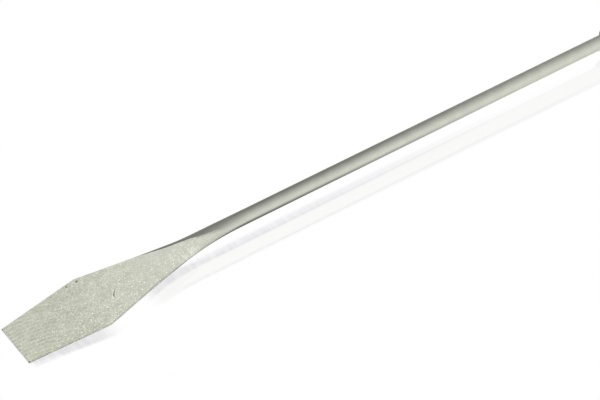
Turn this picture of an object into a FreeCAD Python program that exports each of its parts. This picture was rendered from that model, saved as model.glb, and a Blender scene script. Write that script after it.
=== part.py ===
"""Sculpting spatula: a forged steel blade and shank, held by its tang in a turned wooden handle.

+X runs from the blade's tip to the butt of the handle, +Y across the blade and +Z up. The origin is below
the middle of the tool, on the plane that the tip and the handle's belly both rest on. All lengths are in
millimetres.
"""

import FreeCAD, Part
import math
import os

import Sketcher

# name, value, meaning
DRIVING_DIMENSIONS = [
    ("shank_dia", 3.0, "round bar that the blade is forged from"),
    ("exposed_length", 146.0, "tip of the blade to mouth of the ferrule"),
    ("axis_height", 4.6, "shank's axis above the resting plane, and the handle's largest radius"),
    ("bend_at", 46.0, "tip to the middle of the bend that drops the blade"),
    ("bend_half_length", 4.0, "half of the bend's length along the shank"),
    ("tip_width", 10.3, "blade width at the tip"),
    ("shoulder_width", 14.0, "blade width at the shoulders"),
    ("shoulder_at", 17.3, "tip to the shoulders"),
    ("shoulder_round", 2.0, "plan radius of the shoulders"),
    ("flank_end", 27.0, "tip to the end of the straight flanks"),
    ("neck_end", 54.5, "tip to the place where the neck becomes round bar"),
    ("tip_thickness", 0.36, "blade thickness at the tip"),
    ("root_thickness", 0.72, "blade thickness where the wheel starts to run out"),
    ("grind_start", 30.0, "tip to the place where the wheel starts to run out"),
    ("wheel_radius", 115.0, "grinding wheel that leaves the two flat faces"),
    ("blank_half_width", 8.2, "forged blank before its outline is trimmed"),
    ("blank_half_height", 0.47, "forged blank before its faces are ground"),
    ("tang_length", 42.0, "tang, from the ferrule's mouth to its end"),
    ("spade_length", 14.0, "swaged end of the tang"),
    ("spade_half_width", 1.95, "swaged end of the tang, across"),
    ("ferrule_length", 20.0, "ferrule, mouth to rim"),
    ("ferrule_nose_dia", 4.8, "ferrule outside, at its mouth"),
    ("ferrule_dia", 8.2, "ferrule outside, over the spigot"),
    ("ferrule_taper", 9.0, "length of the ferrule's conical nose"),
    ("ferrule_wall", 0.45, "sheet thickness of the ferrule"),
    ("nose_rim", 1.2, "length of the ferrule's mouth that hugs the shank"),
    ("ring_radius", 0.6, "wheel that rolls the two rings into the ferrule"),
    ("ring_depth", 0.25, "depth of the two rolled rings"),
    ("glue_gap", 0.05, "gap that the glue line leaves between pieces"),
    ("rivet_dia", 1.2, "cross rivet through ferrule, wood and tang"),
    ("rivet_head_dia", 2.0, "peened heads of the rivet"),
    ("rivet_head_height", 0.4, "peened heads of the rivet, above the ferrule"),
    ("rivet_at", 13.9, "ferrule's mouth to the rivet"),
    ("handle_length", 94.0, "wood that shows behind the ferrule"),
    ("spigot_start", 6.0, "ferrule's mouth to the front of the wooden spigot"),
    ("belly_at", 30.0, "ferrule's rim to the belly, the handle's thickest place"),
    ("waist_at", 72.0, "ferrule's rim to the waist"),
    ("waist_dia", 7.2, "handle's waist, behind its belly"),
    ("butt_dia", 8.4, "handle at the swell of the butt"),
    ("butt_flat_dia", 3.6, "flat end face of the butt"),
    ("tang_hole_dia", 4.4, "hole drilled for the tang"),
    ("tang_hole_spare", 2.0, "tang's end to the bottom of its hole"),
    ("flat_thickness", 5.2, "wood between the two flats at the hanging hole"),
    ("flat_length", 14.0, "length of the flats, back from the end face"),
    ("flat_cutter_radius", 6.0, "cutter that mills the flats"),
    ("hanging_at", 7.0, "hanging hole to the end face of the butt"),
    ("eyelet_bore", 3.0, "inside of the eyelet"),
    ("eyelet_wall", 0.3, "sheet thickness of the eyelet"),
    ("eyelet_rim_dia", 5.4, "rolled rims of the eyelet"),
    ("eyelet_rim_height", 0.4, "rolled rims of the eyelet, above the wood"),
    ("eyelet_flare", 0.25, "rounded mouths of the eyelet's bore"),
]

SHEET_NAME = "Dims"
BAD_STATES = ("Invalid", "Error")

# Sketcher's own numbers for the origin and for the points of an edge
ORIGIN_POINT = (-1, 1)
START, END, CENTRE = 1, 2, 3

# sections of the lofted neck, and places along the tang's swaged end as shares of its length
NECK_STATIONS = 9
SPADE_FULL_FROM = 0.35
SPADE_FULL_TO = 0.85

# how far the cutting sketches reach past what they cut
CUT_PAST_END = 3.0
CUT_PAST_FACE = 9.0
CUT_PAST_EDGE = 20.0
WHEEL_RUN_OUT = 24.0


class Formula:
    """A size that is both a number, to draw with, and a spreadsheet expression, to bind with."""

    def __init__(self, text, value):
        self.text = text
        self.value = value

    def __add__(self, other):
        other = as_formula(other)
        return Formula(f"({self.text} + {other.text})", self.value + other.value)

    def __sub__(self, other):
        other = as_formula(other)
        return Formula(f"({self.text} - {other.text})", self.value - other.value)

    def __mul__(self, other):
        other = as_formula(other)
        return Formula(f"({self.text} * {other.text})", self.value * other.value)

    def __truediv__(self, other):
        other = as_formula(other)
        return Formula(f"({self.text} / {other.text})", self.value / other.value)

    def __neg__(self):
        return Formula(f"(0 - {self.text})", -self.value)


def as_formula(size):
    return size if isinstance(size, Formula) else Formula(repr(float(size)), float(size))


class Dimensions:
    """The driving dimensions by name, each as a Formula that points at its spreadsheet cell."""

    def __init__(self, rows):
        for name, value, _ in rows:
            setattr(self, name, Formula(f"{SHEET_NAME}.{name}", value))


def make_sheet(doc):
    sheet = doc.addObject("Spreadsheet::Sheet", SHEET_NAME)
    for row, (name, value, meaning) in enumerate(DRIVING_DIMENSIONS, start=1):
        sheet.set(f"A{row}", name)
        sheet.set(f"B{row}", str(value))
        sheet.setAlias(f"B{row}", name)
        sheet.set(f"C{row}", meaning)
    doc.recompute()


# ---------------------------------------------------------------- sketches


def origin_plane(body, role):
    return next(item for item in body.Origin.OriginFeatures if item.Role == role)


def new_sketch(body, name, plane_role, **offsets):
    """A sketch on one of the body's own origin planes. Offsets shift it in or off the plane, or turn it."""
    sketch = body.newObject("Sketcher::SketchObject", name)
    sketch.AttachmentSupport = [(origin_plane(body, plane_role), "")]
    sketch.MapMode = "FlatFace"
    paths = {"right": "Base.x", "up": "Base.y", "lift": "Base.z", "turn": "Rotation.Angle"}
    for key, formula in offsets.items():
        sketch.setExpression("AttachmentOffset." + paths[key], as_formula(formula).text)
    return sketch


def bind(sketch, constraint, name, formula):
    """Adds a dimension to the sketch and ties it to the spreadsheet."""
    index = sketch.addConstraint(constraint)
    sketch.renameConstraint(index, name)
    sketch.setExpression("Constraints." + name, formula.text)


def hold_point(sketch, edge, vertex, place, name):
    """Holds one point of the sketch at its place from the sketch's origin."""
    for kind, size in zip(("DistanceX", "DistanceY"), place):
        distance = Sketcher.Constraint(kind, *ORIGIN_POINT, edge, vertex, size.value)
        bind(sketch, distance, name + kind[-1], size)


def vector(place):
    return FreeCAD.Vector(place[0].value, place[1].value, 0)


def arc_between(here, there, radius):
    """The shorter arc between two points. It passes right of the chord, or left for a negative radius."""
    half_chord = (there - here) / 2
    right = FreeCAD.Vector(half_chord.y, -half_chord.x, 0).normalize()
    sagitta = abs(radius) - math.sqrt(radius ** 2 - half_chord.Length ** 2)
    return Part.Arc(here, (here + there) / 2 + right * math.copysign(sagitta, radius), there)


def draw_outline(sketch, corners, tag="edge", arcs=None):
    """A closed outline through the corners. Edge n leaves corner n, straight or with the radius arcs[n].

    A positive radius bulges to the right of the way of travel and a negative one to the left.
    """
    arcs = arcs or {}
    corners = [(as_formula(x), as_formula(y)) for x, y in corners]
    edges = []
    for number, (here, there) in enumerate(zip(corners, corners[1:] + corners[:1])):
        radius = arcs.get(number)
        if radius is None:
            shape = Part.LineSegment(vector(here), vector(there))
        else:
            shape = arc_between(vector(here), vector(there), radius.value)
        runs_back = radius is not None and radius.value < 0
        edges.append((sketch.addGeometry(shape, False), *((END, START) if runs_back else (START, END))))
    for number, corner in enumerate(corners):
        before, _, before_end = edges[number - 1]
        edge, edge_start, _ = edges[number]
        sketch.addConstraint(Sketcher.Constraint("Coincident", before, before_end, edge, edge_start))
        hold_point(sketch, edge, edge_start, corner, f"{tag}{number}")
    for number, radius in arcs.items():
        size = radius if radius.value > 0 else -radius
        rounding = Sketcher.Constraint("Radius", edges[number][0], size.value)
        bind(sketch, rounding, f"{tag}{number}_radius", size)


def draw_circle(sketch, radius, x=0, y=0, name="circle"):
    place = (as_formula(x), as_formula(y))
    index = sketch.addGeometry(Part.Circle(vector(place), FreeCAD.Vector(0, 0, 1), radius.value), False)
    hold_point(sketch, index, CENTRE, place, name)
    bind(sketch, Sketcher.Constraint("Radius", index, radius.value), name + "_radius", radius)


def draw_oval(sketch, half_width, half_height):
    """An ellipse about the sketch's origin, at least as wide as it is high."""
    oval = Part.Ellipse(FreeCAD.Vector(0, 0, 0), half_width.value, half_height.value)
    ellipse = sketch.addGeometry(oval, False)
    sketch.exposeInternalGeometry(ellipse)
    major, minor = ellipse + 1, ellipse + 2
    sketch.addConstraint(Sketcher.Constraint("Coincident", ellipse, CENTRE, *ORIGIN_POINT))
    sketch.addConstraint(Sketcher.Constraint("Horizontal", major))
    bind(sketch, Sketcher.Constraint("Distance", major, 2 * half_width.value), "width", half_width * 2)
    bind(sketch, Sketcher.Constraint("Distance", minor, 2 * half_height.value), "height", half_height * 2)


# ---------------------------------------------------------------- features


def new_body(doc, label, x, z):
    """A body whose own origin stands at x, z of the tool's frame."""
    body = doc.addObject("PartDesign::Body", label)
    body.Label = label
    body.setExpression("Placement.Base.x", x.text)
    body.setExpression("Placement.Base.z", as_formula(z).text)
    return body


def cut_both_ways(body, name, sketch):
    """Cuts the sketch right through the body, to both sides of the sketch's plane."""
    pocket = body.newObject("PartDesign::Pocket", name)
    pocket.Profile = sketch
    pocket.SideType = "Symmetric"
    pocket.Type = "ThroughAll"
    return pocket


def loft_through(body, name, sketches, ruled=False, kind="PartDesign::AdditiveLoft"):
    loft = body.newObject(kind, name)
    loft.Profile = sketches[0]
    loft.Sections = sketches[1:]
    loft.Ruled = ruled
    return loft


def turn_about(body, name, sketch, axis="H_Axis", kind="PartDesign::Revolution"):
    """Turns the sketch a full turn about its own horizontal or vertical axis."""
    turned = body.newObject(kind, name)
    turned.Profile = sketch
    turned.ReferenceAxis = (sketch, [axis])
    turned.Angle = 360
    return turned


def cross_hole(body, name, at, radius, plane_role="XZ_Plane"):
    """A round hole right through the body, across its X axis."""
    sketch = new_sketch(body, name + "_circle", plane_role)
    draw_circle(sketch, radius, at)
    return cut_both_ways(body, name, sketch)


# ---------------------------------------------------------------- blade, shank and tang


def crank_slope(dim):
    """Rise of the blade's middle plane per millimetre, from the tip up to the shank's axis."""
    return (dim.axis_height - dim.tip_thickness / 2) / dim.bend_at


def flank_slope(dim):
    """How fast each flank narrows along its straight part."""
    narrowing = (dim.shoulder_width - dim.shank_dia) / 2
    return narrowing / ((dim.neck_end + dim.flank_end) / 2 - dim.shoulder_at)


def middle_height(dim, at):
    """Height of the section's middle, so far from the tip: a straight rise, an eased bend, then level."""
    past_bend = at - dim.bend_at
    if past_bend.value >= dim.bend_half_length.value:
        return dim.axis_height
    if past_bend.value <= -dim.bend_half_length.value:
        return dim.tip_thickness / 2 + crank_slope(dim) * at
    short = dim.bend_half_length - past_bend
    return dim.axis_height - crank_slope(dim) * short * short / (dim.bend_half_length * 4)


def neck_half_width(dim, at):
    """Half width of the neck: a curve in plan that leaves the straight flank and meets the round bar."""
    left = dim.neck_end - at
    return dim.shank_dia / 2 + flank_slope(dim) * left * left / ((dim.neck_end - dim.flank_end) * 2)


def swaged_half_height(dim, half_width):
    """Half height of the bar squeezed into an oval of that half width, which keeps its area."""
    return dim.shank_dia * dim.shank_dia / 4 / half_width


def forged_blank(body, dim):
    """The bar drawn out into a wide, thin oval. Returns how far from the tip it is round bar again."""

    def section(name, at, half_width, half_height):
        sketch = new_sketch(body, name, "YZ_Plane", up=middle_height(dim, at), lift=at)
        draw_oval(sketch, half_width, half_height)
        return sketch

    sections = []
    for name, at in (("blank_tip", as_formula(0)), ("blank_shoulder", dim.shoulder_at)):
        sections.append(section(name, at, dim.blank_half_width, dim.blank_half_height))
    step = (dim.neck_end - dim.flank_end) / (NECK_STATIONS - 1)
    for station in range(NECK_STATIONS):
        at = dim.flank_end + step * station
        half_width = neck_half_width(dim, at)
        sections.append(section(f"neck_{station}", at, half_width, swaged_half_height(dim, half_width)))
    bar_start = dim.neck_end + step
    sections.append(section("bar_start", bar_start, dim.shank_dia / 2, dim.shank_dia / 2))
    loft_through(body, "forged_blank", sections)
    return bar_start


def spade_sections(body, dim, front, height, spare=0):
    """Sketches of the tang's swaged end, from its front at that distance along X, each grown by the spare."""
    bar_radius = dim.shank_dia / 2
    swaged_height = swaged_half_height(dim, dim.spade_half_width)
    shares = (
        ("spade_root", 0.0, bar_radius, bar_radius),
        ("spade_front", SPADE_FULL_FROM, dim.spade_half_width, swaged_height),
        ("spade_rear", SPADE_FULL_TO, dim.spade_half_width, swaged_height),
        ("spade_end", 1.0, bar_radius, swaged_height),
    )
    sections = []
    for name, share, half_width, half_height in shares:
        sketch = new_sketch(body, name, "YZ_Plane", up=height, lift=front + dim.spade_length * share)
        draw_oval(sketch, half_width + spare, half_height + spare)
        sections.append(sketch)
    return sections


def grind_faces(body, dim):
    """Grinds both faces flat: a thin wedge behind the tip, then the wheel's curve out through the neck."""
    slope = crank_slope(dim)
    crank = Formula(f"atan({slope.text})", math.degrees(math.atan(slope.value)))
    sketch = new_sketch(body, "ground_faces", "XZ_Plane", up=dim.tip_thickness / 2, turn=crank)
    ahead = as_formula(CUT_PAST_END)
    clear = as_formula(CUT_PAST_FACE)
    run_out = as_formula(WHEEL_RUN_OUT)
    taper = (dim.root_thickness - dim.tip_thickness) / 2 / dim.grind_start
    ahead_height = dim.tip_thickness / 2 - taper * ahead
    root_height = dim.root_thickness / 2
    exit_height = root_height + taper * run_out + run_out * run_out / (dim.wheel_radius * 2)
    for side, tag in ((1, "upper"), (-1, "lower")):
        corners = [
            (-ahead, ahead_height * side),
            (dim.grind_start, root_height * side),
            (dim.grind_start + run_out, exit_height * side),
            (dim.grind_start + run_out, clear * side),
            (-ahead, clear * side),
        ]
        draw_outline(sketch, corners, tag, arcs={1: dim.wheel_radius * side})
    cut_both_ways(body, "grind", sketch)


def trim_outline(body, dim):
    """Trims the blank to its outline: square tip, spreading edges, rounded shoulders, straight flanks."""
    sketch = new_sketch(body, "plan_outline", "XY_Plane")
    ahead = as_formula(CUT_PAST_END)
    clear = as_formula(CUT_PAST_EDGE)
    half_tip = dim.tip_width / 2
    half_shoulder = dim.shoulder_width / 2
    spread = (half_shoulder - half_tip) / dim.shoulder_at
    fall = (half_shoulder - neck_half_width(dim, dim.flank_end)) / (dim.flank_end - dim.shoulder_at)
    cut_back = dim.shoulder_round * (spread + fall) / 2
    for side, tag in ((1, "left"), (-1, "right")):
        corners = [
            (-ahead, (half_tip - spread * ahead) * side),
            (dim.shoulder_at - cut_back, (half_shoulder - spread * cut_back) * side),
            (dim.shoulder_at + cut_back, (half_shoulder - fall * cut_back) * side),
            (dim.flank_end, neck_half_width(dim, dim.flank_end) * side),
            (dim.flank_end, clear * side),
            (-ahead, clear * side),
        ]
        draw_outline(sketch, corners, tag, arcs={1: dim.shoulder_round * -side})
    cut_both_ways(body, "trim", sketch)


def make_blade(doc, dim, tip_x):
    body = new_body(doc, "spatula_blade", tip_x, 0)
    bar_start = forged_blank(body, dim)
    spade_front = dim.exposed_length + dim.tang_length - dim.spade_length
    bar = new_sketch(body, "bar_section", "YZ_Plane", up=dim.axis_height, lift=bar_start)
    draw_circle(bar, dim.shank_dia / 2)
    shank = body.newObject("PartDesign::Pad", "shank")
    shank.Profile = bar
    shank.setExpression("Length", (spade_front - bar_start).text)
    loft_through(body, "tang_spade", spade_sections(body, dim, spade_front, dim.axis_height), ruled=True)
    grind_faces(body, dim)
    trim_outline(body, dim)
    rivet_circle = new_sketch(body, "rivet_circle", "XZ_Plane", up=dim.axis_height)
    draw_circle(rivet_circle, dim.rivet_dia / 2 + dim.glue_gap / 2, dim.exposed_length + dim.rivet_at)
    cut_both_ways(body, "rivet_hole", rivet_circle)


# ---------------------------------------------------------------- ferrule and rivet


def ferrule_inside(dim, at):
    """Inside radius of the ferrule's cone at a distance from its mouth."""
    front = dim.ferrule_nose_dia / 2 - dim.ferrule_wall
    back = dim.ferrule_dia / 2 - dim.ferrule_wall
    start = dim.nose_rim + dim.ferrule_wall
    return front + (back - front) * (at - start) / (dim.ferrule_taper - start)


def make_ferrule(doc, dim, mouth_x):
    """Drawn tube with a conical nose that closes on the shank, and two rings rolled in to grip the wood."""
    body = new_body(doc, "ferrule", mouth_x, dim.axis_height)
    mouth = dim.shank_dia / 2 + dim.glue_gap
    nose = dim.ferrule_nose_dia / 2
    outside = dim.ferrule_dia / 2
    inside = outside - dim.ferrule_wall
    lip = dim.ferrule_wall / 2
    cone_start = dim.nose_rim + dim.ferrule_wall
    profile = new_sketch(body, "ferrule_profile", "XZ_Plane")
    corners = [
        (0, mouth),
        (0, nose - lip),
        (lip, nose),
        (dim.ferrule_taper, outside),
        (dim.ferrule_length - lip, outside),
        (dim.ferrule_length, outside - lip),
        (dim.ferrule_length, inside),
        (dim.ferrule_taper, inside),
        (cone_start, ferrule_inside(dim, cone_start)),
        (dim.nose_rim, mouth),
    ]
    draw_outline(profile, corners, arcs={1: -lip, 4: -lip})
    turn_about(body, "ferrule_shell", profile)

    rings = new_sketch(body, "ring_profile", "XZ_Plane")
    to_ring = dim.ring_radius * 4
    places = {"front_ring": dim.ferrule_taper + to_ring, "rear_ring": dim.ferrule_length - to_ring}
    for name, at in places.items():
        draw_circle(rings, dim.ring_radius, at, outside + dim.ring_radius - dim.ring_depth, name)
    turn_about(body, "rolled_rings", rings, kind="PartDesign::Groove")
    cross_hole(body, "rivet_hole", dim.rivet_at, dim.rivet_dia / 2 + dim.glue_gap / 2)


def make_rivet(doc, dim, mouth_x):
    """Rivet across the ferrule, the wood and the tang, peened to a low dome at both ends."""
    body = new_body(doc, "ferrule_rivet", mouth_x, dim.axis_height)
    shaft = dim.rivet_dia / 2
    head = dim.rivet_head_dia / 2
    under = dim.ferrule_dia / 2 + dim.glue_gap / 2
    top = under + dim.rivet_head_height
    dome = (head * head + dim.rivet_head_height * dim.rivet_head_height) / (dim.rivet_head_height * 2)
    profile = new_sketch(body, "rivet_profile", "XY_Plane", right=dim.rivet_at)
    corners = [
        (0, -top),
        (head, -under),
        (shaft, -under),
        (shaft, under),
        (head, under),
        (0, top),
    ]
    draw_outline(profile, corners, arcs={0: dome, 4: dome})
    turn_about(body, "rivet", profile, axis="V_Axis")


# ---------------------------------------------------------------- bond, handle and eyelet


def make_bond(doc, dim, mouth_x):
    """Epoxy that fills the ferrule's nose and the tang hole, all round the tang."""
    body = new_body(doc, "tang_bond", mouth_x, dim.axis_height)
    gap = dim.glue_gap
    front = dim.nose_rim + dim.ferrule_wall * 2
    wood = dim.spigot_start - gap
    hole = dim.tang_hole_dia / 2 - gap
    end = dim.tang_length + dim.tang_hole_spare - gap
    profile = new_sketch(body, "bond_profile", "XZ_Plane")
    corners = [
        (front, 0),
        (front, ferrule_inside(dim, front) - gap * 2),
        (wood, ferrule_inside(dim, wood) - gap * 2),
        (wood, hole),
        (end, hole),
        (end, 0),
    ]
    draw_outline(profile, corners)
    turn_about(body, "bond_fill", profile)

    spade_front = dim.tang_length - dim.spade_length
    bar = new_sketch(body, "bar_section", "YZ_Plane")
    draw_circle(bar, dim.shank_dia / 2 + gap)
    channel = body.newObject("PartDesign::Pocket", "bar_channel")
    channel.Profile = bar
    channel.Reversed = True
    channel.setExpression("Length", spade_front.text)
    sections = spade_sections(body, dim, spade_front, 0, spare=gap)
    loft_through(body, "spade_cavity", sections, ruled=True, kind="PartDesign::SubtractiveLoft")
    cross_hole(body, "rivet_hole", dim.rivet_at, dim.rivet_dia / 2 + gap / 2)


def swell_radius(along, rise):
    """Radius of an arc that starts level and climbs by the rise over that length."""
    return (along * along + rise * rise) / (rise * 2)


def make_handle(doc, dim, mouth_x):
    """Turned wood: a spigot in the ferrule, a belly, a waist and a swelling butt with the eyelet's flats."""
    body = new_body(doc, "handle", mouth_x, dim.axis_height)
    gap = dim.glue_gap
    bore = dim.tang_hole_dia / 2
    bore_end = dim.tang_length + dim.tang_hole_spare
    spigot = dim.ferrule_dia / 2 - dim.ferrule_wall - gap
    shoulder = dim.ferrule_length + gap
    end = dim.ferrule_length + dim.handle_length
    rim = (shoulder, dim.ferrule_dia / 2)
    belly = (dim.ferrule_length + dim.belly_at, dim.axis_height)
    waist = (dim.ferrule_length + dim.waist_at, dim.waist_dia / 2)
    butt_round = (dim.butt_dia - dim.butt_flat_dia) / 2
    butt = (end - butt_round, dim.butt_dia / 2)

    def halfway(one, other):
        return (one[0] + other[0]) / 2, (one[1] + other[1]) / 2

    def half_swell(low, high):
        return swell_radius((high[0] - low[0]) / 2, (high[1] - low[1]) / 2)

    rear_of_belly = swell_radius((waist[0] - belly[0]) / 2, (belly[1] - waist[1]) / 2)
    front_of_butt = half_swell(waist, butt)
    corners = [
        (dim.spigot_start, bore),
        (dim.spigot_start, ferrule_inside(dim, dim.spigot_start) - gap),
        (dim.ferrule_taper, spigot),
        (shoulder, spigot),
        rim,
        belly,
        halfway(belly, waist),
        waist,
        halfway(waist, butt),
        butt,
        (end, dim.butt_flat_dia / 2),
        (end, 0),
        (bore_end + bore / 2, 0),
        (bore_end, bore),
    ]
    arcs = {
        4: -swell_radius(belly[0] - rim[0], belly[1] - rim[1]),
        5: -rear_of_belly,
        6: rear_of_belly,
        7: front_of_butt,
        8: -front_of_butt,
        9: -butt_round,
    }
    profile = new_sketch(body, "handle_profile", "XZ_Plane")
    draw_outline(profile, corners, arcs=arcs)
    turn_about(body, "turned_wood", profile)

    flats = new_sketch(body, "butt_flats", "XZ_Plane")
    half_flat = dim.flat_thickness / 2
    flat_start = end - dim.flat_length
    cutter = dim.flat_cutter_radius
    past_end = end + CUT_PAST_END
    for side, tag in ((1, "upper"), (-1, "lower")):
        corners = [
            (flat_start - cutter, (half_flat + cutter) * side),
            (flat_start, half_flat * side),
            (past_end, half_flat * side),
            (past_end, (half_flat + cutter) * side),
        ]
        draw_outline(flats, corners, tag, arcs={0: cutter * side})
    cut_both_ways(body, "flats", flats)

    cross_hole(body, "rivet_hole", dim.rivet_at, dim.rivet_dia / 2 + gap / 2)
    eyelet_hole = dim.eyelet_bore / 2 + dim.eyelet_wall + gap
    cross_hole(body, "hanging_hole", end - dim.hanging_at, eyelet_hole, plane_role="XY_Plane")


def make_eyelet(doc, dim, hole_x):
    """Brass tube through the butt with a rim rolled over the wood at both ends."""
    body = new_body(doc, "hanging_eyelet", hole_x, dim.axis_height)
    bore = dim.eyelet_bore / 2
    flare = dim.eyelet_flare
    outside = bore + dim.eyelet_wall
    rim = dim.eyelet_rim_dia / 2
    wood = dim.flat_thickness / 2 + dim.glue_gap
    top = dim.flat_thickness / 2 + dim.eyelet_rim_height
    rim_round = top - wood
    profile = new_sketch(body, "eyelet_profile", "XZ_Plane")
    corners = [
        (bore, flare - top),
        (bore + flare, -top),
        (rim - rim_round, -top),
        (rim, -wood),
        (outside, -wood),
        (outside, wood),
        (rim, wood),
        (rim - rim_round, top),
        (bore + flare, top),
        (bore, top - flare),
    ]
    draw_outline(profile, corners, arcs={0: flare, 2: rim_round, 6: rim_round, 8: flare})
    turn_about(body, "eyelet", profile, axis="V_Axis")


# ---------------------------------------------------------------- document


def check_and_export(doc):
    """Stops on any failed object, then writes one STEP file for each sub-part."""
    for item in doc.Objects:
        if any(state in BAD_STATES for state in item.State):
            raise RuntimeError(f"{item.Name} failed to rebuild: {item.State}")
    os.makedirs("parts", exist_ok=True)
    for body in (item for item in doc.Objects if item.TypeId == "PartDesign::Body"):
        shape = body.Shape
        if shape.isNull() or not shape.isValid() or len(shape.Solids) != 1:
            raise RuntimeError(f"{body.Label} is not one valid solid")
        shape.exportStep(os.path.join("parts", body.Label + ".step"))
        print(f"{body.Label}: {shape.Volume:.1f} cubic mm")


def main():
    doc = FreeCAD.newDocument("SculptingSpatula")
    make_sheet(doc)
    dim = Dimensions(DRIVING_DIMENSIONS)
    overall_length = dim.exposed_length + dim.ferrule_length + dim.handle_length
    tip_x = -(overall_length / 2)
    mouth_x = tip_x + dim.exposed_length
    make_blade(doc, dim, tip_x)
    make_ferrule(doc, dim, mouth_x)
    make_rivet(doc, dim, mouth_x)
    make_bond(doc, dim, mouth_x)
    make_handle(doc, dim, mouth_x)
    make_eyelet(doc, dim, overall_length / 2 - dim.hanging_at)
    doc.recompute()
    check_and_export(doc)


main()
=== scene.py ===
"""Looks of the sculpting spatula: forged steel blade, plated ferrule, turned handle, brass eyelet.

+X runs from the blade's tip to the butt, +Y across the blade, +Z up. Blender works in metres, and
lengths are written as millimetres times MM. Inside the node materials lengths are millimetres.
Places along the tool are given as distances behind the blade's tip, unless said otherwise.
"""

import math

import bmesh
import bpy
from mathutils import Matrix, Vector


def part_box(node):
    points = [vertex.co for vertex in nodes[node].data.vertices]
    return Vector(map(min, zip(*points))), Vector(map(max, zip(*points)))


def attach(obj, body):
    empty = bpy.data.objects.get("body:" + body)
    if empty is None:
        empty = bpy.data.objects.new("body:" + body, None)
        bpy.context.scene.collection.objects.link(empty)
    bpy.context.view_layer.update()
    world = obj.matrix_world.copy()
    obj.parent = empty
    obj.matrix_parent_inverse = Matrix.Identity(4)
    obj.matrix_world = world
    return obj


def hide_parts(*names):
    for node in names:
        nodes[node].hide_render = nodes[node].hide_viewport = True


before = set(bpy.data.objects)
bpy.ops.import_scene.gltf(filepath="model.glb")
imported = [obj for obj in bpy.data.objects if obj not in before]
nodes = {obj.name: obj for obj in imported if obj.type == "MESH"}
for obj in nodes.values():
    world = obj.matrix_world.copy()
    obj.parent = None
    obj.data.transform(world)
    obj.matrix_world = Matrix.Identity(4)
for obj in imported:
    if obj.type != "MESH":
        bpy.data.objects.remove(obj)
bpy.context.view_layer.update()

MM = 0.001

# ---------------------------------------------------------------- places, from the frame

blade_low, blade_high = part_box("spatula_blade")
ferrule_low, ferrule_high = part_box("ferrule")
handle_low, handle_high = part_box("handle")

TIP_X = blade_low.x
AXIS_HEIGHT = (ferrule_low.z + ferrule_high.z) / 2
MOUTH_AT = ferrule_low.x - TIP_X
TANG_END_AT = blade_high.x - TIP_X

# ---------------------------------------------------------------- the blade's own sizes, behind its tip

BAR_RADIUS = 1.5 * MM
TIP_HALF = 5.15 * MM
SHOULDER_HALF = 7.0 * MM
SHOULDER_AT = 17.3 * MM
SHOULDER_ROUND = 2.0 * MM
FLANK_END = 27.0 * MM
NECK_END = 54.5 * MM
BEND_AT = 46.0 * MM
BEND_HALF_LENGTH = 4.0 * MM
TIP_HALF_THICKNESS = 0.18 * MM
ROOT_HALF_THICKNESS = 0.36 * MM
TIP_ROUND = 0.4 * MM
TIP_KEENNESS = 0.97
WHEEL_FROM = 30.0 * MM
WHEEL_RADIUS = 115.0 * MM
BLANK_HALF_WIDTH = 8.2 * MM
BLANK_HALF_HEIGHT = 0.47 * MM
SPREAD_END = 40.0 * MM
SPREAD_AT_FLANK_END = 1.53
SPADE_LENGTH = 14.0 * MM
SPADE_HALF_WIDTH = 1.95 * MM
SPADE_FULL_FROM = 0.35
SPADE_FULL_TO = 0.85

# How finely the blade's mesh is divided: steps round a quarter of a section, then steps along it.
FACE_STEPS = 12
FLANK_STEPS = 7
WALL_STEPS = 3
QUARTER_STEPS = FACE_STEPS + FLANK_STEPS + WALL_STEPS
LEAST_TURN = math.radians(7)
LEAST_FLANK_TURN = math.radians(0.6)
SHARP_FROM = math.radians(4)
FINE_STEP = 0.25 * MM
MIDDLING_STEP = 0.5 * MM
COARSE_STEP = 3.0 * MM
TIP_ROUND_STEPS = 4
FINE_TO = 44.0 * MM
MIDDLING_TO = NECK_END + 2.0 * MM
SPARE_END = 0.01 * MM


def blend(low, high, share):
    """Straight change from low to high as the share runs from 0 to 1."""
    return low + (high - low) * min(max(share, 0.0), 1.0)


def eased(share):
    """The share kept within 0 and 1, with soft ends."""
    share = min(max(share, 0.0), 1.0)
    return share * share * (3 - 2 * share)


# ---------------------------------------------------------------- blade, as sections along the tool

CRANK = (AXIS_HEIGHT - TIP_HALF_THICKNESS) / BEND_AT
FLANK_SLOPE = (SHOULDER_HALF - BAR_RADIUS) / ((NECK_END + FLANK_END) / 2 - SHOULDER_AT)
TIP_SPREAD = (SHOULDER_HALF - TIP_HALF) / SHOULDER_AT


def neck_half_width(at):
    """Half width of the neck, which curves from the straight flank into the round bar."""
    left = max(NECK_END - at, 0.0)
    return BAR_RADIUS + FLANK_SLOPE * left * left / (2 * (NECK_END - FLANK_END))


FLANK_FALL = (SHOULDER_HALF - neck_half_width(FLANK_END)) / (FLANK_END - SHOULDER_AT)


def plan_half_width(at):
    """Half width of the blade from above: it spreads to the shoulders, then narrows to the bar."""
    if at >= FLANK_END:
        return neck_half_width(at)
    round_half = SHOULDER_ROUND * (TIP_SPREAD + FLANK_FALL) / 2
    past = at - SHOULDER_AT
    if past <= -round_half:
        return SHOULDER_HALF + TIP_SPREAD * past
    if past >= round_half:
        return SHOULDER_HALF - FLANK_FALL * past
    along = past + round_half
    start = SHOULDER_HALF - TIP_SPREAD * round_half
    return start + TIP_SPREAD * along - along * along / (2 * SHOULDER_ROUND)


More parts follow.
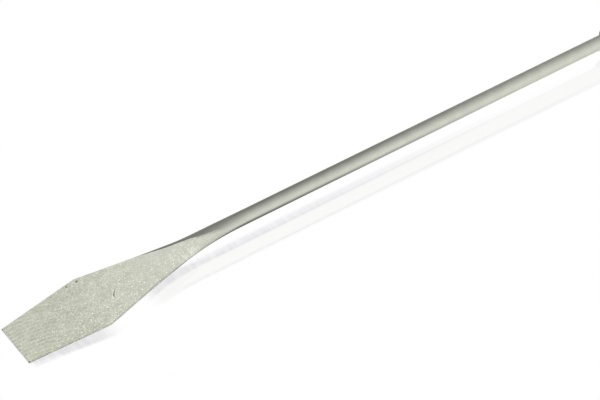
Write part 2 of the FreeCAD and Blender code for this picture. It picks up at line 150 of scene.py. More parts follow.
def oval_halves(at):
    """Half width and half height of the forged oval before it is ground and trimmed."""
    spade_from = TANG_END_AT - SPADE_LENGTH
    if at > spade_from:
        share = (at - spade_from) / SPADE_LENGTH
        swaged = BAR_RADIUS * BAR_RADIUS / SPADE_HALF_WIDTH
        wide = blend(BAR_RADIUS, SPADE_HALF_WIDTH, share / SPADE_FULL_FROM)
        wide = blend(wide, BAR_RADIUS, (share - SPADE_FULL_TO) / (1 - SPADE_FULL_TO))
        return wide, blend(BAR_RADIUS, swaged, share / SPADE_FULL_FROM)
    if at >= FLANK_END:
        half_width = neck_half_width(at)
        short = max(SPREAD_END - at, 0.0) / (SPREAD_END - FLANK_END)
        spread = 1 + (SPREAD_AT_FLANK_END - 1) * short * short
        return half_width * spread, BAR_RADIUS * BAR_RADIUS / half_width
    share = eased((at - SHOULDER_AT) / (FLANK_END - SHOULDER_AT))
    end_width = neck_half_width(FLANK_END)
    end_height = BAR_RADIUS * BAR_RADIUS / end_width
    end_width *= SPREAD_AT_FLANK_END
    half_width = blend(BLANK_HALF_WIDTH, end_width, share)
    return half_width, blend(BLANK_HALF_HEIGHT, end_height, share)


def middle_height(at):
    """Height of the section's middle: a straight rise, an eased bend, then level."""
    past = at - BEND_AT
    if past >= BEND_HALF_LENGTH:
        return AXIS_HEIGHT
    if past <= -BEND_HALF_LENGTH:
        return TIP_HALF_THICKNESS + CRANK * at
    short = BEND_HALF_LENGTH - past
    return AXIS_HEIGHT - CRANK * short * short / (4 * BEND_HALF_LENGTH)


def ground_half_height(at):
    """Distance of each ground face from the crank line: a thin wedge, then the wheel's curve."""
    height = blend(TIP_HALF_THICKNESS, ROOT_HALF_THICKNESS, at / WHEEL_FROM)
    short = max(TIP_ROUND - at, 0.0) / TIP_ROUND
    height *= math.sqrt(1 - TIP_KEENNESS * short * short)
    past = max(at - WHEEL_FROM, 0.0)
    thickening = (ROOT_HALF_THICKNESS - TIP_HALF_THICKNESS) / WHEEL_FROM
    return height + past * thickening + past * past / (2 * WHEEL_RADIUS)


def quarter(half_width, half_height, face, width_limit):
    """Points from the middle of a face to the section's widest place: face, flank, then edge wall.

    The oval is cut off at the ground face and at the plan outline.
    """
    face_turn = math.acos(min(max(face / half_height, -1.0), 1.0))
    wall_turn = math.asin(min(width_limit / half_width, 1.0))
    wall_turn = min(wall_turn, math.pi / 2 - LEAST_TURN)
    face_turn = min(max(face_turn, LEAST_TURN), wall_turn - LEAST_FLANK_TURN)
    points = []
    for step in range(FACE_STEPS):
        across = half_width * math.sin(face_turn) * step / FACE_STEPS
        points.append((across, half_height * math.sqrt(1 - (across / half_width) ** 2)))
    for step in range(FLANK_STEPS):
        turn = blend(face_turn, wall_turn, step / FLANK_STEPS)
        points.append((half_width * math.sin(turn), half_height * math.cos(turn)))
    wall_top = min(half_height * math.cos(wall_turn), face)
    for step in range(WALL_STEPS):
        height = wall_top * (1 - step / WALL_STEPS)
        points.append((half_width * math.sqrt(1 - (height / half_height) ** 2), height))
    return [(min(across, width_limit), min(height, face)) for across, height in points]


def face_heights(at):
    """Distances of the upper and the lower face from the section's middle."""
    half_height = oval_halves(at)[1]
    if at >= NECK_END:
        return half_height, half_height
    offset = TIP_HALF_THICKNESS + CRANK * at - middle_height(at)
    return ground_half_height(at) + offset, ground_half_height(at) - offset


def section(at):
    """One closed ring of (y, z) points, starting in the middle of the upper face."""
    half_width, half_height = oval_halves(at)
    width_limit = plan_half_width(at) if at < NECK_END else half_width
    middle = middle_height(at)
    upper, lower = face_heights(at)
    above = quarter(half_width, half_height, upper, width_limit)
    below = quarter(half_width, half_height, lower, width_limit)
    ring = list(above)
    ring.append((width_limit, 0.0))
    ring += [(y, -z) for y, z in reversed(below)]
    ring += [(-y, -z) for y, z in below[1:]]
    ring.append((-width_limit, 0.0))
    ring += [(-y, z) for y, z in reversed(above[1:])]
    return [(y, middle + z) for y, z in ring]


def stations():
    """Distances behind the tip where the blade has a section, closest together on the blade."""
    at = 0.0
    found = []
    while at < TANG_END_AT - SPARE_END:
        found.append(at)
        if at < TIP_ROUND:
            at += TIP_ROUND / TIP_ROUND_STEPS
        elif at < FINE_TO:
            at += FINE_STEP
        elif at < MIDDLING_TO:
            at += MIDDLING_STEP
        else:
            at += COARSE_STEP
    spade_from = TANG_END_AT - SPADE_LENGTH
    for share in (0.0, SPADE_FULL_FROM, SPADE_FULL_TO, 1.0):
        found.append(spade_from + SPADE_LENGTH * share)
    return sorted(set(found))


# Where the blasted finish ends. From FLANK_END on only the near side of a soft edge keeps it, and
# from BLAST_FROM on that edge moves off the neck. The lower side loses it at UNDER_FROM.
FLANK_FADE = 3.0 * MM
BLAST_FROM = 41.0 * MM
BLAST_EDGE = 0.26 * MM
BLAST_SLOPE = 0.28
BLAST_FADE = 0.9 * MM
UNDER_FROM = 31.5 * MM
UNDER_FADE = 3.0 * MM


def blasted_share(at, y, number):
    """How much of the blasted finish a corner has. Strips are numbered as section's points are."""
    step = number % (2 * QUARTER_STEPS)
    upper_side = number < QUARTER_STEPS or number >= 3 * QUARTER_STEPS
    if step >= QUARTER_STEPS:
        step = 2 * QUARTER_STEPS - 1 - step
    face = face_heights(at)[0 if upper_side else 1]
    cut = face < oval_halves(at)[1] * math.cos(LEAST_TURN)
    if step < FACE_STEPS and cut:
        return 1.0
    limit = BLAST_EDGE - BLAST_SLOPE * max(at - BLAST_FROM, 0.0)
    on_flank = 1 - eased((at - FLANK_END) / FLANK_FADE)
    share = max(eased((limit - y) / BLAST_FADE + 0.5), on_flank)
    if upper_side:
        return share
    return share * (1 - eased((at - UNDER_FROM) / UNDER_FADE))


def make_blade():
    """Forged blade, shank and tang as one mesh, with the share of blasted finish at each corner."""
    mesh = bmesh.new()
    blasted = mesh.loops.layers.float.new("blasted")
    rings = []
    for at in stations():
        rings.append((at, [mesh.verts.new((TIP_X + at, y, z)) for y, z in section(at)]))
    for (at, ring), (next_at, following) in zip(rings, rings[1:]):
        count = len(ring)
        for number in range(count):
            after = (number + 1) % count
            corners = (ring[number], ring[after], following[after], following[number])
            face = mesh.faces.new(corners)
            for loop, place in zip(face.loops, (at, at, next_at, next_at)):
                loop[blasted] = blasted_share(place, loop.vert.co.y, number)
    tip_edge = mesh.faces.new(rings[0][1][::-1])
    for loop in tip_edge.loops:
        loop[blasted] = 1.0
    mesh.faces.new(rings[-1][1])
    bmesh.ops.recalc_face_normals(mesh, faces=mesh.faces)
    data = bpy.data.meshes.new("forged_blade")
    mesh.to_mesh(data)
    mesh.free()
    for polygon in data.polygons:
        polygon.use_smooth = True
    data.set_sharp_from_angle(angle=SHARP_FROM)
    piece = bpy.data.objects.new("forged_blade", data)
    bpy.context.scene.collection.objects.link(piece)
    return piece


# ---------------------------------------------------------------- node materials

# Numbers left bare in the materials are a pattern's scale, per millimetre, and its thresholds.

class Graph:
    """A node tree with short calls for the nodes that the materials use."""

    def __init__(self, tree):
        self.tree = tree
        self.tree.nodes.clear()

    def add(self, kind, inputs=(), **settings):
        node = self.tree.nodes.new(kind)
        for name, value in settings.items():
            setattr(node, name, value)
        for socket, value in dict(inputs).items():
            self.put(node, socket, value)
        return node

    def put(self, node, socket, value):
        if isinstance(value, bpy.types.NodeSocket):
            self.tree.links.new(value, node.inputs[socket])
        else:
            node.inputs[socket].default_value = value

    def math(self, operation, first, second=0.0, third=0.0):
        node = self.add("ShaderNodeMath", operation=operation)
        for number, value in enumerate((first, second, third)):
            self.put(node, number, value)
        return node.outputs[0]

    def product(self, first, second):
        return self.math("MULTIPLY", first, second)

    def span(self, value, low, high, to_low=0.0, to_high=1.0):
        """Maps low..high to to_low..to_high with soft ends."""
        limits = {"From Min": low, "From Max": high, "To Min": to_low, "To Max": to_high}
        node = self.add("ShaderNodeMapRange", limits, interpolation_type="SMOOTHSTEP")
        self.put(node, "Value", value)
        return node.outputs["Result"]

    def mix(self, share, first, second):
        node = self.add("ShaderNodeMix", data_type="RGBA")
        self.put(node, 0, share)
        self.put(node, 6, first)
        self.put(node, 7, second)
        return node.outputs[2]

    def stretched(self, place, x, y, z):
        inputs = {0: place, 1: (x, y, z)}
        return self.add("ShaderNodeVectorMath", inputs, operation="MULTIPLY").outputs[0]

    def noise(self, place, scale, detail=3.0, roughness=0.55):
        inputs = {"Vector": place, "Scale": scale, "Detail": detail, "Roughness": roughness}
        return self.add("ShaderNodeTexNoise", inputs).outputs["Fac"]

    def cells(self, place, scale):
        """Voronoi cells: distance from each cell's own point, and a random value for each cell."""
        node = self.add("ShaderNodeTexVoronoi", {"Vector": place, "Scale": scale})
        chance = self.add("ShaderNodeSeparateColor", {"Color": node.outputs["Color"]}).outputs[0]
        return node.outputs["Distance"], chance

    def attribute(self, name):
        return self.add("ShaderNodeAttribute", attribute_name=name).outputs["Fac"]

    def place(self):
        """Position on the tool in millimetres."""
        where = self.add("ShaderNodeTexCoord").outputs["Object"]
        return self.stretched(where, 1 / MM, 1 / MM, 1 / MM)

    def parts(self, place):
        """The three parts of a position."""
        return self.add("ShaderNodeSeparateXYZ", {0: place}).outputs

    def bump(self, height, depth, normal=None):
        """Bump whose height of 1 is that many millimetres."""
        inputs = {"Height": height, "Distance": depth * MM, "Strength": 1.0}
        node = self.add("ShaderNodeBump", inputs)
        if normal is not None:
            self.put(node, "Normal", normal)
        return node.outputs["Normal"]

    def finish(self, **inputs):
        names = {name.replace("_", " "): value for name, value in inputs.items()}
        shader = self.add("ShaderNodeBsdfPrincipled", names)
        self.add("ShaderNodeOutputMaterial", {"Surface": shader.outputs[0]})


def new_material(name):
    material = bpy.data.materials.new(name)
    material.use_nodes = True
    return material, Graph(material.node_tree)


def colour(red, green, blue):
    return red, green, blue, 1.0


WHITE = colour(1.0, 1.0, 1.0)

# Colours of the steel. A pair is mixed by a noise pattern, from its low values to its high ones.
SATIN = colour(0.57, 0.585, 0.52), colour(0.63, 0.64, 0.57)
SATIN_STREAK = colour(0.48, 0.49, 0.45)
FINE_GRAIN = colour(0.312, 0.326, 0.260), colour(0.510, 0.524, 0.449)
COARSE_GRAIN = colour(0.32, 0.33, 0.265), colour(0.55, 0.565, 0.485)
PALE_STEEL = colour(0.57, 0.58, 0.51)
GRINDING = colour(0.60, 0.60, 0.47)
# A painted highlight: the near-white colour of the painted glints on the blasted faces.
PAINTED_GLINT = colour(0.84, 0.85, 0.75)
HATCHING = colour(0.78, 0.79, 0.70)
BROWN_STAIN = colour(0.10, 0.085, 0.05)
SCRATCH_GREY = colour(0.12, 0.12, 0.10)

# Stretches of the blade over which a look comes in or goes out.
COARSE_IN = 6.0, 18.0
COARSE_OUT = 23.0, 30.0
PALE_IN = 4.0, 40.0
GRINDING_OUT = 13.0, 5.0
GLINTS_IN = 2.0, 12.0
GLINTS_OUT = 44.0, 38.0
HATCH_IN = 33.0, 36.5
HATCH_OUT = 43.0, 40.0
TARNISH_IN = 65.0, 140.0

# Marks. A scratch end is a place behind the tip and across, and a stain also has its radius.
SCRATCH_ENDS = (22.2, -0.45), (21.2, -1.85)
SCRATCH_BOW = 0.9
SCRATCH_HALF_WIDTH = 0.20, 0.06
STAINS = ((15.2, 6.2, 0.34), (17.5, 6.1, 0.42), (0.1, 5.05, 0.2), (0.1, -5.05, 0.24))
STAIN_CORE = 0.35
STAIN_SHARE = 0.8
SCRATCH_SHARE = 0.85
PALE_SHARE = 0.50
# Scale and threshold of the cells that place the painted glints.
GLINT_CELLS = (1.7, 0.52), (2.2, 0.40)

# The grinding lines are arcs round a point level with the tip, this far out on the near side.
GRINDING_CENTRE = 18.0
GRINDING_PITCH = 7.0
GRINDING_WAVER = 5.0
GRAIN_RELIEF = 0.02
SATIN_RELIEF = 0.0012

BLASTED_ROUGHNESS = 0.5
BLASTED_METALLIC_LOSS = 0.75
TARNISHED_METALLIC = 0.88


def drawn_finish(graph, where):
    """Satin drawn bar: base colour, roughness and the height of its relief."""
    streaks = graph.noise(graph.stretched(where, 0.02, 1.0, 1.0), 5.0, detail=4.0, roughness=0.7)
    mottle = graph.noise(where, 0.35, detail=4.0)
    base = graph.mix(graph.span(mottle, 0.3, 0.7), *SATIN)
    base = graph.mix(graph.span(streaks, 0.35, 0.75, 0.0, 0.25), base, SATIN_STREAK)
    roughness = graph.span(mottle, 0.3, 0.7, 0.18, 0.25)
    return base, roughness, graph.product(streaks, SATIN_RELIEF)


def stain(graph, along, across, at, aside, size):
    """Share of a small round mark at that place."""
    far_along = graph.math("SUBTRACT", along, at)
    far_across = graph.math("SUBTRACT", across, aside)
    far = graph.math("MULTIPLY_ADD", far_along, far_along, graph.math("POWER", far_across, 2.0))
    return graph.span(graph.math("SQRT", far), size, STAIN_CORE * size)


def scratch(graph, along, across):
    """Share of the short bowed scratch."""
    (high_at, high_across), (low_at, low_across) = SCRATCH_ENDS
    above_end = graph.math("SUBTRACT", across, low_across)
    share = graph.math("DIVIDE", above_end, high_across - low_across)
    bow = graph.product(graph.product(share, graph.math("SUBTRACT", 1.0, share)), SCRATCH_BOW)
    start = graph.math("SUBTRACT", low_at, bow)
    centre = graph.math("MULTIPLY_ADD", share, high_at - low_at, start)
    off = graph.math("ABSOLUTE", graph.math("SUBTRACT", along, centre))
    ends = graph.product(graph.span(share, -0.1, 0.15), graph.span(share, 1.1, 0.85))
    return graph.product(graph.span(off, *SCRATCH_HALF_WIDTH), ends)


def grinding(graph, along, across, blotch):
    """Share of the curved grinding lines near the tip."""
    arc = graph.math("POWER", graph.math("ADD", across, GRINDING_CENTRE), 2.0)
    arc = graph.math("SQRT", graph.math("MULTIPLY_ADD", along, along, arc))
    waver = graph.product(blotch, GRINDING_WAVER)
    wave = graph.math("SINE", graph.math("MULTIPLY_ADD", arc, GRINDING_PITCH, waver))
    return graph.product(graph.span(wave, -0.2, 1.0, 0.0, 0.34), graph.span(along, *GRINDING_OUT))


def blasted_finish(graph, where, along, across):
    """Ground and bead-blasted faces: base colour with painted glints, and the height of their relief.
    """
    grain = graph.noise(where, 3.4, detail=4.0, roughness=0.75)
    blotch = graph.noise(where, 0.6, detail=2.0)
    tone = graph.math("MULTIPLY_ADD", grain, 0.8, graph.product(blotch, 0.2))
    coarse = graph.product(graph.span(along, *COARSE_IN), graph.span(along, *COARSE_OUT, 1.0, 0.3))
    fine_grain = graph.mix(graph.span(tone, 0.36, 0.64), *FINE_GRAIN)
    coarse_grain = graph.mix(graph.span(tone, 0.40, 0.60), *COARSE_GRAIN)
    base = graph.mix(coarse, fine_grain, coarse_grain)
    base = graph.mix(graph.product(graph.span(along, *PALE_IN), PALE_SHARE), base, PALE_STEEL)
    base = graph.mix(grinding(graph, along, across, blotch), base, GRINDING)
    # Painted highlight: near-white glints stand in for light caught by the blasted grain, with more of
    # them on the near side.
    near_side = graph.span(across, 4.0, -3.0, 0.35, 1.0)
    glinting = graph.product(graph.span(along, *GLINTS_IN, 0.4, 1.0), graph.span(along, *GLINTS_OUT))
    for scale, lit in GLINT_CELLS:
        distance, chance = graph.cells(where, scale)
        spot = graph.product(graph.span(distance, 0.34, 0.10), graph.span(chance, lit, lit + 0.3))
        base = graph.mix(graph.product(spot, graph.product(near_side, glinting)), base, PAINTED_GLINT)
    hatch = graph.noise(graph.stretched(where, 2.2, 0.35, 0.35), 1.0, detail=2.0)
    hatch = graph.product(graph.span(hatch, 0.5, 0.62), graph.span(across, 0.6, -0.8, 0.0, 0.5))
    hatched = graph.product(graph.span(along, *HATCH_IN), graph.span(along, *HATCH_OUT))
    base = graph.mix(graph.product(hatch, hatched), base, HATCHING)
    marks = 0.0
    for at, aside, size in STAINS:
        marks = graph.math("MAXIMUM", marks, stain(graph, along, across, at, aside, size))
    base = graph.mix(graph.product(marks, STAIN_SHARE), base, BROWN_STAIN)
    cut = scratch(graph, along, across)
    base = graph.mix(graph.product(cut, SCRATCH_SHARE), base, SCRATCH_GREY)
    height = graph.product(graph.math("SUBTRACT", grain, cut), GRAIN_RELIEF)
    return base, height


def blade_steel():
    """Forged steel: blasted where the blade is ground, satin where the bar is left as drawn."""
    material, graph = new_material("blade_steel")
    where = graph.place()
    along, across = graph.parts(where)[:2]
    behind_tip = graph.math("SUBTRACT", along, TIP_X / MM)
    blasted = graph.attribute("blasted")
    satin_base, satin_roughness, satin_height = drawn_finish(graph, where)
    matte_base, matte_height = blasted_finish(graph, where, behind_tip, across)
    base = graph.mix(blasted, satin_base, matte_base)
    bare = graph.span(behind_tip, *TARNISH_IN, 1.0, TARNISHED_METALLIC)
    shine = graph.math("MULTIPLY_ADD", blasted, -BLASTED_METALLIC_LOSS, 1.0)
    metallic = graph.product(bare, shine)
    satin = graph.math("SUBTRACT", 1.0, blasted)
    roughness = graph.product(satin_roughness, satin)
    roughness = graph.math("MULTIPLY_ADD", blasted, BLASTED_ROUGHNESS, roughness)
    height = graph.product(satin_height, satin)
    height = graph.math("MULTIPLY_ADD", blasted, matte_height, height)
    relief = graph.bump(height, 1.0)
    graph.finish(Base_Color=base, Metallic=metallic, Roughness=roughness, Normal=relief)
    return material


# Colours and patterns of the other pieces.
BEECH = colour(0.58, 0.36, 0.19)
LATE_WOOD = colour(0.43, 0.235, 0.11)
BEECH_FIBRE = colour(0.66, 0.45, 0.26)
BEECH_FLECK = colour(0.25, 0.12, 0.05)
TREE_HEART = -11.0, -24.0
RINGS_PER_MM = 0.62
RING_BEND = 3.0
RUBBED_LENGTH = 0.5
NICKEL = colour(0.66, 0.65, 0.62), colour(0.74, 0.72, 0.68)
NICKEL_LINE = colour(0.50, 0.49, 0.46)
RUBBED_EDGE = colour(0.70, 0.52, 0.26)
BRASS = colour(0.80, 0.60, 0.27)
BRASS_TARNISH = colour(0.50, 0.34, 0.15)
EPOXY = colour(0.62, 0.45, 0.18), colour(0.75, 0.60, 0.32)
EPOXY_BUBBLE = colour(0.90, 0.82, 0.60)


def turned_beech():
    """Lacquered beech, its grain along the handle and its rings round the tree's heart."""
    material, graph = new_material("turned_beech")
    where = graph.place()
    across, up = graph.parts(where)[1:]
    bend = graph.noise(graph.stretched(where, 0.02, 0.10, 0.10), 1.0, detail=2.0)
    heart_y = graph.math("SUBTRACT", across, TREE_HEART[0])
    heart_z = graph.math("SUBTRACT", up, TREE_HEART[1])
    squares = graph.math("ADD", graph.product(heart_y, heart_y), graph.product(heart_z, heart_z))
    radius = graph.math("ADD", graph.math("SQRT", squares), graph.product(bend, RING_BEND))
    late = graph.span(graph.math("FRACT", graph.product(radius, RINGS_PER_MM)), 0.55, 1.0)
    fibre = graph.noise(graph.stretched(where, 0.06, 1.6, 1.6), 2.2, detail=4.0, roughness=0.65)
    base = graph.mix(late, BEECH, LATE_WOOD)
    base = graph.mix(graph.span(fibre, 0.35, 0.72, 0.0, 0.55), base, BEECH_FIBRE)
    distance, chance = graph.cells(graph.stretched(where, 0.30, 2.4, 2.4), 1.0)
    spot = graph.product(graph.span(distance, 0.30, 0.14), graph.span(chance, 0.45, 0.6))
    base = graph.mix(graph.product(spot, 0.75), base, BEECH_FLECK)
    lathe = graph.noise(graph.stretched(where, 7.0, 0.12, 0.12), 1.0, detail=2.0)
    relief = graph.bump(lathe, 0.006, graph.bump(fibre, 0.02))
    graph.finish(
        Base_Color=base,
        Roughness=graph.span(fibre, 0.3, 0.7, 0.30, 0.42),
        Normal=relief,
        Coat_Weight=0.55,
        Coat_Roughness=0.12,
    )
    return material


def nickel_plate():
    """Satin nickel over brass, with the brass showing where the plate is rubbed at the rim."""
    material, graph = new_material("nickel_plate")
    where = graph.place()
    along = graph.parts(where)[0]
    turned = graph.noise(graph.stretched(where, 6.0, 0.2, 0.2), 1.0, detail=3.0)
    mottle = graph.noise(where, 0.8, detail=4.0)
    base = graph.mix(graph.span(mottle, 0.35, 0.7), *NICKEL)
    rim_at = ferrule_high.x / MM
    rim = graph.span(along, rim_at - RUBBED_LENGTH, rim_at)
    base = graph.mix(graph.product(rim, graph.span(mottle, 0.45, 0.6)), base, RUBBED_EDGE)
    base = graph.mix(graph.span(turned, 0.45, 0.65, 0.0, 0.25), base, NICKEL_LINE)
    roughness = graph.span(mottle, 0.3, 0.7, 0.09, 0.20)
    relief = graph.bump(turned, 0.004)
    graph.finish(Base_Color=base, Metallic=1.0, Roughness=roughness, Normal=relief)
    return material


def brass():
    """Drawn brass with a light, uneven tarnish."""
    material, graph = new_material("brass")
    where = graph.place()
    tarnish = graph.noise(where, 1.4, detail=5.0, roughness=0.6)
    base = graph.mix(graph.span(tarnish, 0.42, 0.68), BRASS, BRASS_TARNISH)
    roughness = graph.span(tarnish, 0.35, 0.7, 0.20, 0.42)
    relief = graph.bump(graph.noise(where, 8.0, detail=2.0), 0.002)
    graph.finish(Base_Color=base, Metallic=1.0, Roughness=roughness, Normal=relief)
    return material


def amber_epoxy():
    """Cured epoxy with small bubbles and clouds."""
    material, graph = new_material("amber_epoxy")
    where = graph.place()
    distance, chance = graph.cells(where, 1.6)
    bubble = graph.product(graph.span(distance, 0.22, 0.10), graph.span(chance, 0.7, 0.8))
    base = graph.mix(graph.noise(where, 0.5, detail=3.0), *EPOXY)
    base = graph.mix(bubble, base, EPOXY_BUBBLE)
    relief = graph.bump(bubble, 0.03)
    graph.finish(Base_Color=base, Roughness=0.22, Normal=relief, Transmission_Weight=0.35)
    return material


def dress(piece, material):
    piece.data.materials.clear()
    piece.data.materials.append(material)


blade = make_blade()
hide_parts("spatula_blade")
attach(blade, "root")
dress(blade, blade_steel())

brass_material = brass()
dress(nodes["handle"], turned_beech())
dress(nodes["ferrule"], nickel_plate())
dress(nodes["ferrule_rivet"], brass_material)
dress(nodes["hanging_eyelet"], brass_material)
dress(nodes["tang_bond"], amber_epoxy())


# ---------------------------------------------------------------- stage

FLOOR_HALF_SIZE = 4.0
FLOOR_DROP = 0.02 * MM
MIRROR_SHARE = 0.12
TABLE_WHITE = colour(0.80, 0.80, 0.80)
DEEPEST_SHADE = colour(0.0, 0.0, 0.14)

# The soft shadow, held by a grid on the table so that it follows the tool's outline.
SHADE_CELL = 0.35 * MM
SHADE_MARGIN = 14.0 * MM
SHADE_OUTSIDE = 1.4 * MM
NEAR_SOFTNESS = 0.5 * MM
TIP_SOFTNESS = 0.5 * MM
TIP_END_SOFTNESS = 1.5 * MM
BUTT_END_SOFTNESS = 1.0 * MM
SHADE_DEPTH = 0.15
LEAST_SHADE_DEPTH = 0.01
SHADE_FADES_FROM = 60.0 * MM
SHADE_FADES_OVER = 70.0 * MM

# Under the shank it is a band between these places across, reached some way behind the shoulder.
SHANK_SHADE = (-2.38 * MM, -0.55 * MM)
SHANK_SOFTNESS = 1.2 * MM
SHANK_SHADE_OVER = 24.0 * MM

# Under ferrule and handle it stands out on the near side and stops short on the far side.
HANDLE_SHADE_DEPTH = 0.30
HANDLE_SHADE_OUTSIDE = 0.8 * MM
HANDLE_SHADE_INSIDE = 1.5 * MM
HANDLE_SOFTNESS = 1.6 * MM

# Beside the shoulder the light washes out shadow and mirror image.
GLARE_FROM = 12.5 * MM
GLARE_RISE = 8.0 * MM
GLARE_TO = 31.0 * MM
GLARE_FALL = 5.0 * MM

# A painted reflection: a thin dark line painted along the near edge of the shank's mirror image.
RIM_FROM = 30.0 * MM
RIM_FADE_IN = 8.0 * MM
RIM_FADE_OUT = 4.0 * MM
RIM_ACROSS = -5.45 * MM
RIM_SLOPE = -0.0054
RIM_HALF_WIDTH = 0.35 * MM
RIM_DEPTHS = (0.07, 0.12)
RIM_DEEPENS_FROM = 50.0 * MM
RIM_DEEPENS_OVER = 76.0 * MM


def shade_edges(at):
    """Near and far edge of the soft shadow, how softly its far edge ends and how deep it is."""
    if at >= MOUTH_AT:
        on_ferrule = at <= ferrule_high.x - TIP_X
        low, high = (ferrule_low, ferrule_high) if on_ferrule else (handle_low, handle_high)
        half_width = (high.y - low.y) / 2
        near = -half_width - HANDLE_SHADE_OUTSIDE
        return near, half_width - HANDLE_SHADE_INSIDE, HANDLE_SOFTNESS, HANDLE_SHADE_DEPTH
    share = eased((at - SHOULDER_AT) / SHANK_SHADE_OVER)
    near = blend(-plan_half_width(at) - SHADE_OUTSIDE, SHANK_SHADE[0], share)
    far = blend(0.0, SHANK_SHADE[1], share)
    depth = blend(SHADE_DEPTH, LEAST_SHADE_DEPTH, eased((at - SHADE_FADES_FROM) / SHADE_FADES_OVER))
    return near, far, blend(TIP_SOFTNESS, SHANK_SOFTNESS, share), depth


def glare(at):
    """How far the light washes out shadow and mirror image."""
    return eased((at - GLARE_FROM) / GLARE_RISE) * eased((GLARE_TO - at) / GLARE_FALL)


def painted_mirror_rim(at, across):
    """Depth of the painted dark line along the mirror image."""
    on_shank = eased((at - RIM_FROM) / RIM_FADE_IN) * eased((MOUTH_AT - at) / RIM_FADE_OUT)
    centre = RIM_ACROSS + RIM_SLOPE * (at - RIM_FROM)
    depth = blend(RIM_DEPTHS[0], RIM_DEPTHS[1], (at - RIM_DEEPENS_FROM) / RIM_DEEPENS_OVER)
    return depth * on_shank * math.exp(-((across - centre) / RIM_HALF_WIDTH) ** 2)


def shade(at, across):
    """Depth of the painted soft shadow and the painted line of the mirror image at a place on the
    table.
    """
    butt_at = handle_high.x - TIP_X
    inside = min(max(at, 0.0), butt_at)
    near, far, softness, depth = shade_edges(inside)
    near_softness = softness if inside >= MOUTH_AT else NEAR_SOFTNESS
    cover = eased((across - near) / near_softness + 0.5) - eased((across - far) / softness + 0.5)
    ends = eased(at / TIP_END_SOFTNESS) * eased((butt_at - at) / BUTT_END_SOFTNESS + 0.5)
    return depth * cover * (1 - glare(at)) * ends + painted_mirror_rim(at, across)


# The table as reflections on the tool see it: dim in the gap below the tool and behind it, and
# white in front. Rays that have bounced more often than DIMMED_DEPTH see it white everywhere.
GAP_ALONG = 45.0, 135.0
GAP_DEPTHS = 0.90, 0.20
GAP_REACH = 8.0
BEHIND_TOOL = 0.0, 4.0
BEHIND_TOOL_LIGHT = 1.0, 0.36
REFLECTED_LIGHT = 1.05
DIMMED_DEPTH = 1.5

# The shadow's streaks are full up to this place and fade towards the middle of the tool.
STREAKED_TO = 40.0
STREAK_DEPTH = 0.3


def floor_material():
    """Glossy white table, over-lit as the camera sees it and dimmer as the steel sees it."""
    material, graph = new_material("white_table")
    where = graph.place()
    along, across = graph.parts(where)[:2]
    rays = graph.add("ShaderNodeLightPath").outputs
    table = graph.add("ShaderNodeBsdfDiffuse", {"Color": TABLE_WHITE}).outputs[0]
    shadow = graph.attribute("shade")
    streaks = graph.noise(graph.stretched(where, 1.4, 0.25, 1.0), 1.0, detail=3.0)
    near_blade = graph.span(along, 0.0, TIP_X / MM + STREAKED_TO)
    streaks = graph.span(streaks, 0.3, 0.7, -STREAK_DEPTH, STREAK_DEPTH)
    streaks = graph.product(streaks, near_blade)
    shadow = graph.math("MULTIPLY_ADD", shadow, streaks, shadow)
    tint = graph.mix(shadow, WHITE, DEEPEST_SHADE)
    lit = graph.add("ShaderNodeEmission", {"Color": tint, "Strength": 1.0}).outputs[0]
    polish = {"Color": WHITE, "Roughness": 0.0}
    mirror = graph.add("ShaderNodeBsdfGlossy", polish).outputs[0]
    shares = {0: graph.attribute("mirror"), 1: lit, 2: mirror}
    seen = graph.add("ShaderNodeMixShader", shares).outputs[0]
    behind_tip = graph.math("SUBTRACT", along, TIP_X / MM)
    depth = graph.span(behind_tip, *GAP_ALONG, *GAP_DEPTHS)
    reach = graph.math("DIVIDE", graph.math("ABSOLUTE", across), GAP_REACH)
    reach = graph.product(graph.math("POWER", reach, 2.0), -1.0)
    gap = graph.product(depth, graph.math("EXPONENT", reach))
    light = graph.product(graph.math("SUBTRACT", 1.0, gap), REFLECTED_LIGHT)
    light = graph.product(light, graph.span(across, *BEHIND_TOOL, *BEHIND_TOOL_LIGHT))
    later = graph.math("GREATER_THAN", rays["Ray Depth"], DIMMED_DEPTH)
    light = graph.math("MAXIMUM", light, later)
    reflected = {"Color": colour(1.0, 1.0, 0.97), "Strength": light}
    in_metal = graph.add("ShaderNodeEmission", reflected).outputs[0]
    shares = {0: rays["Is Glossy Ray"], 1: table, 2: in_metal}
    surface = graph.add("ShaderNodeMixShader", shares).outputs[0]
    shares = {0: rays["Is Camera Ray"], 1: surface, 2: seen}
    surface = graph.add("ShaderNodeMixShader", shares).outputs[0]
    graph.add("ShaderNodeOutputMaterial", {"Surface": surface})
    return material


def spaced(low, high):
    """Grid lines over a stretch in equal cells, and one far line at each end of the floor."""
    cells = math.ceil((high - low) / SHADE_CELL)
    lines = [low + (high - low) * number / cells for number in range(cells + 1)]
    return [-FLOOR_HALF_SIZE] + lines + [FLOOR_HALF_SIZE]


def make_floor():
    """Table with a fine grid under the tool, which holds the painted shadow, the painted line of the
    mirror image and the mirror's share.
    """
    mesh = bmesh.new()
    depth = mesh.verts.layers.float.new("shade")
    mirrored = mesh.verts.layers.float.new("mirror")
    rows = []
    for x in spaced(TIP_X - SHADE_MARGIN, handle_high.x + SHADE_MARGIN):
        row = []
        for y in spaced(-SHADE_MARGIN, SHADE_MARGIN):
            corner = mesh.verts.new((x, y, -FLOOR_DROP))
            corner[depth] = shade(x - TIP_X, y)
            corner[mirrored] = MIRROR_SHARE * (1 - glare(x - TIP_X))
            row.append(corner)
        rows.append(row)
    for row, following in zip(rows, rows[1:]):
        for number in range(len(row) - 1):
            after = number + 1
            mesh.faces.new((row[number], following[number], following[after], row[after]))
    data = bpy.data.meshes.new("floor")
    mesh.to_mesh(data)
    mesh.free()
    floor = bpy.data.objects.new("floor", data)
    bpy.context.scene.collection.objects.link(floor)
    dress(floor, floor_material())


SKY_TURNS = math.radians(-75), math.radians(105)
SKY_LIGHT = 0.30, 1.08
SUN_ENERGY = 2.95
SUN_ANGLE = math.radians(25)
SUN_TILT = math.radians(-17)


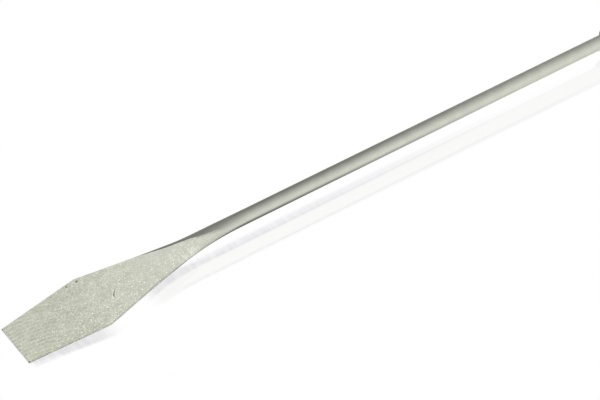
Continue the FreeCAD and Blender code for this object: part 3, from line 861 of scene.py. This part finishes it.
def make_world():
    """Soft surroundings, bright on the -Y side and dim on the +Y side.

    The camera and the table's mirror see plain white.
    """
    world = bpy.data.worlds.new("studio")
    bpy.context.scene.world = world
    world.use_nodes = True
    graph = Graph(world.node_tree)
    direction = graph.parts(graph.add("ShaderNodeTexCoord").outputs["Generated"])
    turn = graph.math("ARCTAN2", graph.product(direction[1], -1.0), direction[2])
    sky = {"Color": colour(1.0, 1.0, 0.99), "Strength": graph.span(turn, *SKY_TURNS, *SKY_LIGHT)}
    surroundings = graph.add("ShaderNodeBackground", sky).outputs[0]
    plain = {"Color": WHITE, "Strength": 1.0}
    white = graph.add("ShaderNodeBackground", plain).outputs[0]
    rays = graph.add("ShaderNodeLightPath").outputs
    sees_white = graph.math("MAXIMUM", rays["Is Camera Ray"], rays["Is Singular Ray"])
    shares = {0: sees_white, 1: surroundings, 2: white}
    mixed = graph.add("ShaderNodeMixShader", shares).outputs[0]
    graph.add("ShaderNodeOutputWorld", {"Surface": mixed})


def make_light():
    """One large soft light, high up and a little behind the tool."""
    data = bpy.data.lights.new("overhead", "SUN")
    data.energy = SUN_ENERGY
    data.angle = SUN_ANGLE
    light = bpy.data.objects.new("overhead", data)
    light.rotation_euler = (SUN_TILT, 0.0, 0.0)
    light.visible_glossy = False
    bpy.context.scene.collection.objects.link(light)


CAMERA_AZIMUTH = math.radians(-35.1)
CAMERA_ELEVATION = math.radians(44.57)
CAMERA_DISTANCE = 482.3 * MM
CAMERA_LENS = 143.4
CAMERA_SENSOR = 36.0
CAMERA_SEES = 10 * MM, 20.0
AIM_BEHIND_TIP = 67.12 * MM
AIM_ASIDE = 1.41 * MM


def make_camera():
    """Camera at the photograph's angle, aimed at a place on the table beside the shank."""
    data = bpy.data.cameras.new("camera")
    data.lens = CAMERA_LENS
    data.sensor_width = CAMERA_SENSOR
    data.clip_start, data.clip_end = CAMERA_SEES
    camera = bpy.data.objects.new("camera", data)
    bpy.context.scene.collection.objects.link(camera)
    back = Vector((
        math.sin(CAMERA_AZIMUTH) * math.cos(CAMERA_ELEVATION),
        -math.cos(CAMERA_AZIMUTH) * math.cos(CAMERA_ELEVATION),
        math.sin(CAMERA_ELEVATION),
    ))
    aim = Vector((TIP_X + AIM_BEHIND_TIP, AIM_ASIDE, 0.0))
    camera.location = aim + back * CAMERA_DISTANCE
    camera.rotation_euler = back.to_track_quat("Z", "Y").to_euler()
    bpy.context.scene.camera = camera


make_floor()
make_world()
make_light()
make_camera()
bpy.context.scene.view_settings.view_transform = "Standard"
